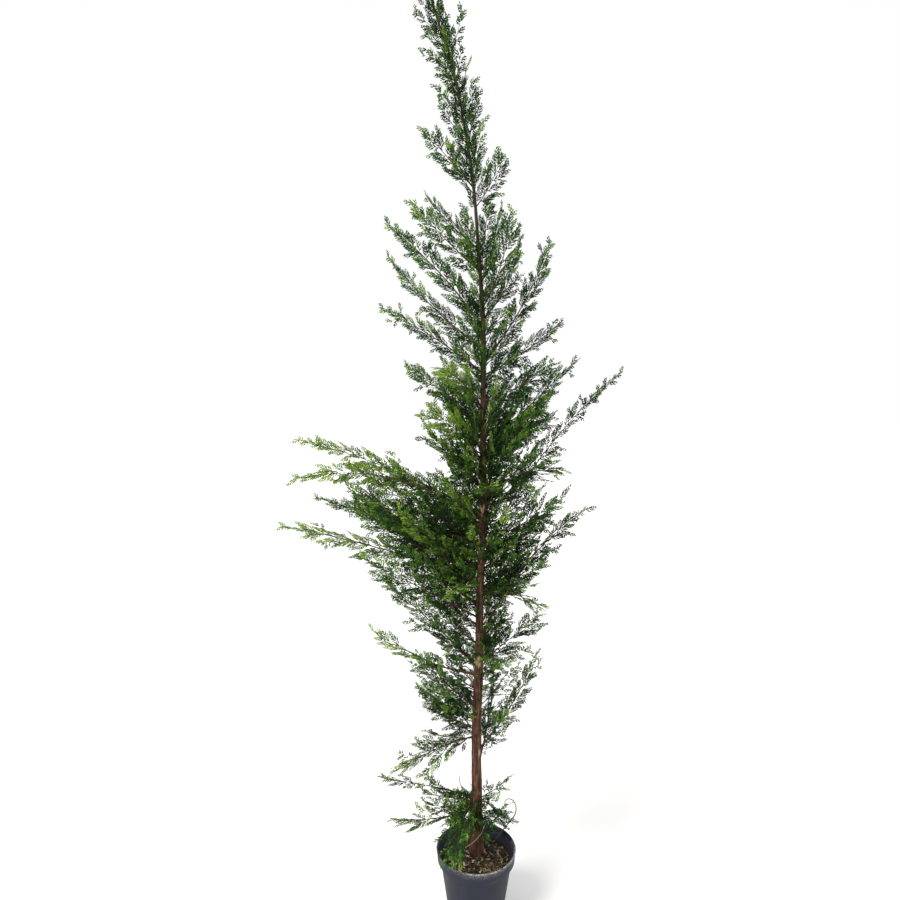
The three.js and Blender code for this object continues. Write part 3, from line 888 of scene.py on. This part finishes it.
def stem_lines(rng):
    """Every mass's stem, then the side boughs, small boughs and branches, with the breadths beside them,
    how bright their sprays are, a step that is mostly painted sunlight and shade, and their radius at the
    foot. A stem that continues a bare bough starts just inside the bough's end, at its radius there."""
    stems, breadths, bright, thick = [], [], [], []
    for name in PADS:
        short = name.removeprefix("foliage_")
        lines, breadth = pad_of(name)
        foot = foot_radius(lines)[0]
        if "bough_" + short in BOUGHS:
            bow, taper = bar_of("bough_" + short)
            end, foot = on_bow(bow, BOUGH_END), np.polyval(taper, BOUGH_END)
            lines = lines._replace(root=end[None], run=lines.run + lines.root - end)
        stems.append(lines)
        breadths.append(breadth)
        bright.append(MASS_SUN_AND_SHADE.get(short, 0.0))
        thick.append(foot)
    height, turn, reach, lean, side_sun_and_shade = np.array(SIDE_BOUGHS).T
    side_boughs = off_trunk(height, np.radians(turn), reach, np.radians(lean), 0.2, rng)
    stems = joined(*stems, side_boughs)
    breadths = np.concatenate([breadths, both_sides(SIDE_BREADTH * reach)])
    bright = np.concatenate([bright, side_sun_and_shade])
    branches, branch_sun_and_shade = branch_lines(stems, breadths, bright, rng)
    small = joined(from_trunk(SMALL_BOUGHS, rng, 0.2), branches)
    breadths = np.concatenate([breadths, both_sides(np.clip(0.22 * length_of(small), 0.010, 0.026))])
    own = rng.normal(0.05, 0.3, len(small.root) - len(branch_sun_and_shade))
    bright = np.concatenate([bright, own, branch_sun_and_shade])
    thick = np.concatenate([thick, foot_radius(joined(side_boughs, small))])
    return joined(stems, small), breadths, bright, thick


def branch_lines(stems, breadths, bright, rng):
    """Branches on the masses' stems, long enough to reach the mass's edge, and rolled out of the stem's
    plane, so that a mass is deep as well as broad."""
    index, share, side = stations(length_of(stems), BRANCH_STEP, 0.05, 0.86, rng)
    count = len(index)
    breadth = breadth_beside(breadths, index, np.minimum(share + 0.15, 1), side)
    reach = np.clip(breadth * 1.5, 0.03, LONGEST_BRANCH) * rng.uniform(0.75, 1.1, count)
    lean, roll = np.radians(rng.normal(38, 7, count)), np.radians(rng.normal(0, 30, count))
    droop = rng.uniform(-0.1, 0.1, count)
    lines = side_growth(stems, index, share, side, lean, reach, roll, droop)
    return lines, bright[index] + rng.normal(0, 0.2, count)


def breadth_beside(breadths, index, share, side):
    """The breadth beside a stem at a share of it, between the bins' middles."""
    bins = breadths.shape[2]
    x = np.clip(share * bins - 0.5, 0, bins - 1)
    i = np.minimum(x.astype(int), bins - 2)
    which = (side < 0).astype(int)
    here, following = breadths[index, which, i], breadths[index, which, i + 1]
    return here + (following - here) * (x - i)


def twig_lines(spray, stems, breadths, bright, rng):
    """The twigs to each side of the stems, as long as the mass is broad there, and those that grow straight
    from the trunk. Gives the lines and their scores on the scale of greens, which rise towards the stem's
    tip, to the left and front, and where a twig's plane faces up: painted light, brighter on the side
    towards the key light and darker away from it."""
    index, share, side = stations(length_of(stems), spray.twig_step, 0.05, 0.99, rng)
    count = len(index)
    lean = np.radians(rng.normal(spray.lean, 8, count))
    breadth = breadth_beside(breadths, index, np.minimum(share + 0.1, 1), side)
    reach = breadth / np.sin(lean) * rng.uniform(0.75, 1.1, count) * (1 + 0.4 * ease(share, 0.3, 0.0))
    reach = np.minimum(reach, spray.longest_twig * rng.uniform(0.7, 1.05, count))
    reach = np.maximum(reach, spray.least_twig * rng.uniform(0.8, 1.3, count))
    roll = np.radians(rng.normal(0, 20, count))
    low = ease(point_on(stems, share, index)[:, 2], 1.6, 0.8)
    droop = rng.uniform(-0.12, 0.06, count) + 0.1 * low
    beside = side_growth(stems, index, share, side, lean, reach, roll, droop)
    # Painted light: twigs score brighter towards their stem's tip, on the outside of the mass, and darker
    # within it.
    score = bright[index] + 0.75 * (share - 0.5)

    lines = joined(beside, from_trunk(TRUNK_TWIGS, rng, 0.15))
    score = np.concatenate([score, rng.uniform(-0.1, 0.3, len(lines.root) - count)])
    middle = point_on(lines, 0.6)
    off = middle - trunk_at(middle[:, 2])
    # Painted light: twigs to the left and front, towards the key light, and those whose plane faces up score
    # brighter; those to the right and back score darker, as painted shade.
    lit = -1.5 * off[:, 0] - 1.5 * off[:, 1] + 0.3 * unit(lines.face)[:, 2]
    return lines, score + lit + rng.normal(0, 0.32, len(score))


def herringbone(share):
    """How long side growth is along its parent: rising over the first fifth, then falling to the tip."""
    return np.minimum(share / 0.2, 1) * (1 - share) ** 0.9


def spray_lines(spray, twigs, score, rng):
    """The side shoots on the twigs and the tips on the side shoots, each with its score on the scale of
    greens."""
    index, share, side = stations(length_of(twigs), spray.side_step, 0.04, 1.0, rng)
    count = len(index)
    full = np.minimum(0.48 * length_of(twigs)[index], spray.longest_side)
    reach = spray.tip_length * 0.7 + full * herringbone(share) * rng.uniform(0.8, 1.15, count)
    lean = np.radians(rng.normal(spray.lean + 1, 3, count) - 8 * share)
    roll = np.radians(rng.normal(0, 6, count))
    droop = rng.uniform(-0.04, 0.08, count)
    sides = side_growth(twigs, index, share, side, lean, reach, roll, droop)
    # Painted light: side shoots score brighter towards their twig's tip and darker within the spray.
    side_score = score[index] + 0.45 * (share - 0.5) + rng.normal(0, 0.22, count)

    index, share, side = stations(length_of(sides), spray.tip_step, 0.12, 1.0, rng)
    count = len(index)
    reach = spray.tip_length * (0.55 + 0.5 * (1 - share)) * rng.uniform(0.75, 1.2, count)
    reach = np.minimum(reach, 0.75 * length_of(sides)[index])
    lean = np.radians(rng.normal(spray.lean - 13, 4, count))
    roll = np.radians(rng.normal(0, 9, count))
    tips = side_growth(sides, index, share, side, lean, reach, roll, np.zeros(count))
    # The tips score a little brighter than their side shoot: painted highlight on the outermost growth.
    return sides, side_score, tips, side_score[index] + 0.12


def stem_ends(stems, share=0.72):
    """The last part of every stem, from this share of it on, to grow sprays as a twig does."""
    run = (stems.run + 2 * stems.bend * share) * (1 - share)
    return Lines(point_on(stems, share), run, stems.bend * (1 - share) ** 2, stems.face)


def leaf_material(name, colour):
    """Waxy scale leaves: the spray's own green, a little darker and lighter in patches the size of a
    leaf."""
    finish = Finish(name, 0.65, 0.05)
    dark, light = tones(colour, 0.62, 1.45)
    finish.colour(finish.ramp(finish.noise(160, 3), (0.3, dark), (0.7, light)))
    finish.bump(finish.noise(900, 2), 0.4, 0.0005)
    return finish.material


def make_wood(name, lines, radii, shares, around, old, young, nodes):
    """Stalks whose thin bark turns from brown to green, by each point's share of its line."""
    count = len(lines.root)
    age = np.repeat(np.tile(shares, (count, 1)), around, axis=1)
    age = np.concatenate([age, np.zeros((count, 1)), np.ones((count, 1))], axis=1)
    kind = name.removesuffix("s") + "_bark"
    material = toned_material(kind, 0.7, 0.12, "age", ((0.25, old), (0.95, young)), (700, 0.6, 1.3))
    add_piece(name, *stalks(lines, radii, shares, around), material, "bark", nodes, age=age)


def make_foliage(spray):
    """Stems and twigs, then a piece of leaves for each tint in each storey: lit and shaded copies of one
    green, from painted shade to painted sunlight. Side shoots and tips are keeled kites, a side shoot
    broader than a tip and up to three times as long."""
    rng = np.random.default_rng(spray.seed)
    stems, breadths, bright, foot = stem_lines(rng)
    twigs, score = twig_lines(spray, stems, breadths, bright, rng)
    shares = np.linspace(0.0, 0.985, 8)
    inset = stems.run * 0.03
    set_in = stems._replace(root=stems.root - inset, run=stems.run + inset)
    thick = foot[:, None] * (1 - 0.88 * shares**0.8)
    make_wood("stems", set_in, thick, shares, 5, (0.06, 0.034, 0.02), (0.045, 0.075, 0.02), PADS)
    thick = (0.0005 + 0.0065 * length_of(twigs))[:, None] * np.array([1.0, 0.6])
    shares = np.array([0.0, 0.6])
    make_wood("twigs", twigs, thick, shares, 3, (0.05, 0.04, 0.018), (0.045, 0.095, 0.02), SLEEVES)
    # The stems' ends score half a step brighter than their mass: painted light on the outer plumes.
    ends, score = joined(twigs, stem_ends(stems)), np.concatenate([score, bright + 0.5])
    sides, side_score, tips, tip_score = spray_lines(spray, ends, score, rng)
    for number, tint in enumerate(TINTS):
        material = leaf_material(f"{tint}_leaves", getattr(spray, tint))
        for storey in ("lower", "upper"):
            some_tips = of_tint(tips, tip_score, number, storey)
            some_sides = of_tint(sides, side_score, number, storey)
            leaves = put_together([kites(some_tips, spray.tip_width), kites(some_sides, spray.side_width)])
            add_piece(f"sprays_{tint}_{storey}", *leaves, material, "foliage", smooth=False)


def of_tint(lines, score, number, storey):
    """The lines of one tint, by their score's place among the steps, in one storey."""
    below = lines.root[:, 2] < SPLIT_HEIGHT
    here = below if storey == "lower" else ~below
    return chosen(lines, here & (np.digitize(score, TINT_STEPS) == number))


# ---- Dry twigs ----

# Single dry twigs: the points that each passes through, its radius at its foot, and its tone, dark to pale.
HOOKED = (
    (0.056, 0.050, 0.184), (0.084, 0.064, 0.212), (0.108, 0.070, 0.240), (0.112, 0.070, 0.266),
    (0.102, 0.068, 0.286), (0.088, 0.066, 0.290), (0.078, 0.066, 0.279),
)
PALE = ((0.023, 0.0, 0.262), (0.012, -0.024, 0.254), (-0.008, -0.046, 0.246), (-0.031, -0.060, 0.240))
UPRIGHT = ((-0.035, 0.02, 0.350), (-0.043, 0.01, 0.372), (-0.044, 0.004, 0.392), (-0.041, 0.0, 0.402))
DRY_TWIGS = ((HOOKED, 0.0020, 0.12), (PALE, 0.0014, 1.0), (UPRIGHT, 0.0012, 0.1))
STUBS = 34
STUB_TONE = 0.3


def make_dry_twigs():
    """Tapering tubes along smooth lines, and short stubs at random places on the trunk."""
    rng = np.random.default_rng(8)
    meshes, tone = [], []
    for knots, thick, pale in DRY_TWIGS:
        line = through(knots, np.linspace(0, 1, 40))
        radii = np.tile((thick * np.linspace(1, 0.45, 40))[:, None], (1, 6))
        meshes.append(skin(sweep(line, radii, 6, UP + 0.3)[0]))
        tone.append(np.full(len(meshes[-1][0]), pale))
    height = rng.uniform(0.34, 1.5, STUBS)
    turn = rng.uniform(0, 2 * np.pi, STUBS)
    out = unit(round_axis(turn, 1.0, rng.uniform(0.2, 1.1, STUBS)))
    reach = rng.uniform(0.018, 0.045, STUBS)[:, None]
    bend = rng.normal(0, 0.15, (STUBS, 3)) * reach
    stubs = Lines(trunk_at(height), out * reach, bend, np.tile(UP, (STUBS, 1)))
    meshes.append(stalks(stubs, np.tile([0.0013, 0.0009, 0.0006], (STUBS, 1)), np.array([0.0, 0.5, 0.95]), 5))
    tone.append(np.full(len(meshes[-1][0]), STUB_TONE))
    scale = (0.0, (0.03, 0.02, 0.015)), (1.0, (0.42, 0.36, 0.2))
    material = toned_material("dry_wood", 0.8, 0.25, "tone", scale, (500, 0.65, 1.2))
    add_piece("dry_twigs", *put_together(meshes), material, "bark", tone=np.concatenate(tone))


# ---- The stage ----

CAMERA_PLACE = (-0.069, -1.68, 1.42)
CAMERA_PITCH = math.radians(84.4)
LENS = 27.04  # on a sensor 36 mm wide
LIGHT_WAY = (0.62, 0.55, -1.0)
FLOOR_RINGS, FLOOR_AROUND = 12, 96


def link_new(name, data):
    """A new object in the scene."""
    item = bpy.data.objects.new(name, data)
    bpy.context.scene.collection.objects.link(item)
    return item


def make_floor(stage):
    """A flat disc: rings of points at wider and wider radii."""
    radius = stage.floor * np.linspace(0.001, 1, FLOOR_RINGS) ** 2
    points = turned_profile(np.stack([radius, radius * 0], axis=-1), FLOOR_AROUND)
    facing_up = tube_faces(FLOOR_RINGS, FLOOR_AROUND)[0][:, [0, 3, 2, 1]].tolist()
    mesh = bpy.data.meshes.new("floor")
    mesh.from_pydata(points.reshape(-1, 3).tolist(), [], facing_up + [list(range(FLOOR_AROUND))])
    finish = Finish("pale_floor", 0.9, 0.1)
    dark, light = tones(stage.floor_colour, 0.985, 1.01)
    finish.colour(finish.ramp(finish.noise(3, 3), (0.3, dark), (0.7, light)))
    mesh.materials.append(finish.material)
    floor = link_new("floor", mesh)


def make_light(stage):
    """One broad soft light, high at the front and to the left, under an even pale sky."""
    data = bpy.data.lights.new("key_light", "SUN")
    data.energy, data.angle, data.color = stage.key, stage.spread, (1.0, 0.97, 0.92)
    link_new("key_light", data).rotation_euler = Vector(LIGHT_WAY).to_track_quat("-Z", "Y").to_euler()
    world = bpy.data.worlds.new("studio")
    world.use_nodes = True
    sky = world.node_tree.nodes["Background"].inputs
    sky["Color"].default_value = (1, 1, 1, 1)
    sky["Strength"].default_value = stage.sky
    bpy.context.scene.world = world
    bpy.context.scene.view_settings.view_transform = "Standard"


def make_camera():
    """The camera at eye height, looking down a little."""
    data = bpy.data.cameras.new("camera")
    data.sensor_width = 36
    data.lens = LENS
    camera = link_new("camera", data)
    camera.location = CAMERA_PLACE
    camera.rotation_euler = (CAMERA_PITCH, 0, 0)
    bpy.context.scene.camera = camera


# ---- Settings ----


def paint(name, description, default):
    return FloatVectorProperty(name=name, description=description, subtype="COLOR", size=3, default=default)


def size(name, description, default):
    return FloatProperty(name=name, description=description, unit="LENGTH", default=default)


class PotSettings(PropertyGroup):
    colour: paint("Plastic", "The pot's dark plastic", (0.016, 0.019, 0.030))
    dust_colour: paint("Dust", "Dried compost and scuffs on the rim", (0.30, 0.29, 0.29))
    rim_radius: size("Rim radius", "The rim's outer radius", POT_HIGH.x)
    height: size("Height", "The pot's height", POT_HIGH.z)
    foot_radius: size("Foot radius", "The wall's radius at the ground", 0.070)
    band: size("Band", "Height of the upright band under the rim", 0.030)
    wall: size("Wall", "The wall's thickness", 0.0036)


class CompostSettings(PropertyGroup):
    colour: paint("Compost", "Damp compost", (0.012, 0.009, 0.007))
    lumps: size("Lumps", "How far lumps stand up", 0.0045)
    chips: IntProperty(name="Chips", description="Number of bark and wood chips", default=420, min=0)
    litter: IntProperty(name="Litter", description="Number of fallen leaf tips", default=150, min=0)
    seed: IntProperty(name="Seed", description="Another lie of lumps and chips", default=5)


class BarkSettings(PropertyGroup):
    colour: paint("Bark", "The bark's red-brown", (0.085, 0.042, 0.028))
    # The grooves' colour is partly painted shade in the furrows.
    groove_colour: paint("Grooves", "Between the ridges", (0.02, 0.012, 0.009))
    ridge_colour: paint("Ridges", "Worn ridges", (0.16, 0.092, 0.062))
    peel_colour: paint("Peeled", "Where strips have peeled", (0.42, 0.29, 0.18))
    young_colour: paint("Young", "The youngest stems", (0.030, 0.026, 0.014))
    relief: FloatProperty(
        name="Relief", description="How deep the grooves are, as a share of the radius", subtype="FACTOR",
        default=0.085, min=0, max=0.3,
    )
    seed: IntProperty(name="Seed", description="Another run of ridges", default=11)


# Its five tints are lit and shaded copies of one green, from painted shade to painted sunlight.
class SpraySettings(PropertyGroup):
    shade: paint("Shade", "Blue-green sprays in the shade", (0.007, 0.021, 0.009))
    deep: paint("Deep", "Deep green sprays", (0.014, 0.043, 0.009))
    mid: paint("Mid", "Mid green sprays", (0.044, 0.112, 0.017))
    bright: paint("Bright", "Bright green sprays", (0.112, 0.196, 0.024))
    sunlit: paint("Sunlit", "Yellow-green outer sprays", (0.20, 0.32, 0.035))
    twig_step: size("Twig step", "Between one twig and the next", 0.0115)
    longest_twig: size("Longest twig", "The longest twig", 0.070)
    least_twig: size("Least twig", "The shortest twig", 0.018)
    side_step: size("Side step", "Between side shoots on a twig", 0.0034)
    longest_side: size("Longest side", "The longest side shoot", 0.0180)
    side_width: size("Side width", "A side shoot's width", 0.00378)
    tip_step: size("Tip step", "Between tips on a shoot", 0.0035)
    tip_length: size("Tip length", "A leafy tip's length", 0.0056)
    tip_width: size("Tip width", "A leafy tip's width", 0.0027)
    lean: FloatProperty(name="Lean", description="How far side growth leans, in degrees", default=37)
    seed: IntProperty(name="Seed", description="Another growth of sprays", default=3)


class StageSettings(PropertyGroup):
    floor: size("Floor", "The floor's radius", 30)
    floor_colour: paint("Floor colour", "A plain pale floor", (0.82, 0.82, 0.82))
    key: FloatProperty(name="Key light", description="Strength of the soft light from above", default=2.8)
    spread: FloatProperty(
        name="Spread", description="How wide the key light is", subtype="ANGLE", default=math.radians(24)
    )
    sky: FloatProperty(name="Sky", description="Brightness all round", default=1.0)


# ---- Operators ----


class CYPRESS_OT_pot(Operator):
    """The black nursery pot: a profile turned round its axis, with a band, a rolled lip and drain holes"""

    bl_idname = "cypress.pot"
    bl_label = "Pot"

    def execute(self, context):
        make_pot(context.scene.cypress_pot)
        return {"FINISHED"}


class CYPRESS_OT_compost(Operator):
    """The lumpy compost, its bark chips and the fallen leaf tips that lie on it"""

    bl_idname = "cypress.compost"
    bl_label = "Compost"

    def execute(self, context):
        make_compost(context.scene.cypress_compost)
        return {"FINISHED"}


class CYPRESS_OT_bark(Operator):
    """The trunk and the bare boughs, with the relief of stringy bark"""

    bl_idname = "cypress.bark"
    bl_label = "Trunk and boughs"

    def execute(self, context):
        bark = context.scene.cypress_bark
        rng = np.random.default_rng(bark.seed)
        material = bark_material(bark)
        make_trunk(bark, rng, material)
        make_boughs(bark, rng, material)
        return {"FINISHED"}


class CYPRESS_OT_sprays(Operator):
    """The foliage: stems and branches in each mass, twigs beside them, and sprays of scale-leaved tips"""

    bl_idname = "cypress.sprays"
    bl_label = "Foliage"

    def execute(self, context):
        make_foliage(context.scene.cypress_sprays)
        return {"FINISHED"}


class CYPRESS_OT_dry_twigs(Operator):
    """The bare twigs: a hooked one by the pot's rim, a pale one over the compost, and stubs on the trunk"""

    bl_idname = "cypress.dry_twigs"
    bl_label = "Dry twigs"

    def execute(self, context):
        make_dry_twigs()
        return {"FINISHED"}


class CYPRESS_OT_stage(Operator):
    """A plain pale floor, soft studio light and the camera"""

    bl_idname = "cypress.stage"
    bl_label = "Stage"

    def execute(self, context):
        make_floor(context.scene.cypress_stage)
        make_light(context.scene.cypress_stage)
        make_camera()
        return {"FINISHED"}


class CYPRESS_PT_panel(Panel):
    """Lists the plant's pieces and their settings"""

    bl_label = "Potted cypress"
    bl_idname = "CYPRESS_PT_panel"
    bl_space_type = "VIEW_3D"
    bl_region_type = "UI"
    bl_category = "Cypress"

    def draw(self, context):
        for operator, key, group in STEPS:
            box = self.layout.box()
            box.operator(operator.bl_idname)
            for name in group.__annotations__ if group else ():
                box.prop(getattr(context.scene, key), name)


STEPS = (
    (CYPRESS_OT_pot, "cypress_pot", PotSettings),
    (CYPRESS_OT_compost, "cypress_compost", CompostSettings),
    (CYPRESS_OT_bark, "cypress_bark", BarkSettings),
    (CYPRESS_OT_sprays, "cypress_sprays", SpraySettings),
    (CYPRESS_OT_dry_twigs, "", None),
    (CYPRESS_OT_stage, "cypress_stage", StageSettings),
)


def register():
    for operator, key, group in STEPS:
        bpy.utils.register_class(operator)
        if group:
            bpy.utils.register_class(group)
            setattr(bpy.types.Scene, key, PointerProperty(type=group))
    bpy.utils.register_class(CYPRESS_PT_panel)


def unregister():
    bpy.utils.unregister_class(CYPRESS_PT_panel)
    for operator, key, group in reversed(STEPS):
        if group:
            delattr(bpy.types.Scene, key)
            bpy.utils.unregister_class(group)
        bpy.utils.unregister_class(operator)


def main():
    register()
    for operator, _, _ in STEPS:
        area, name = operator.bl_idname.split(".")
        getattr(getattr(bpy.ops, area), name)()


if __name__ == "__main__":
    main()
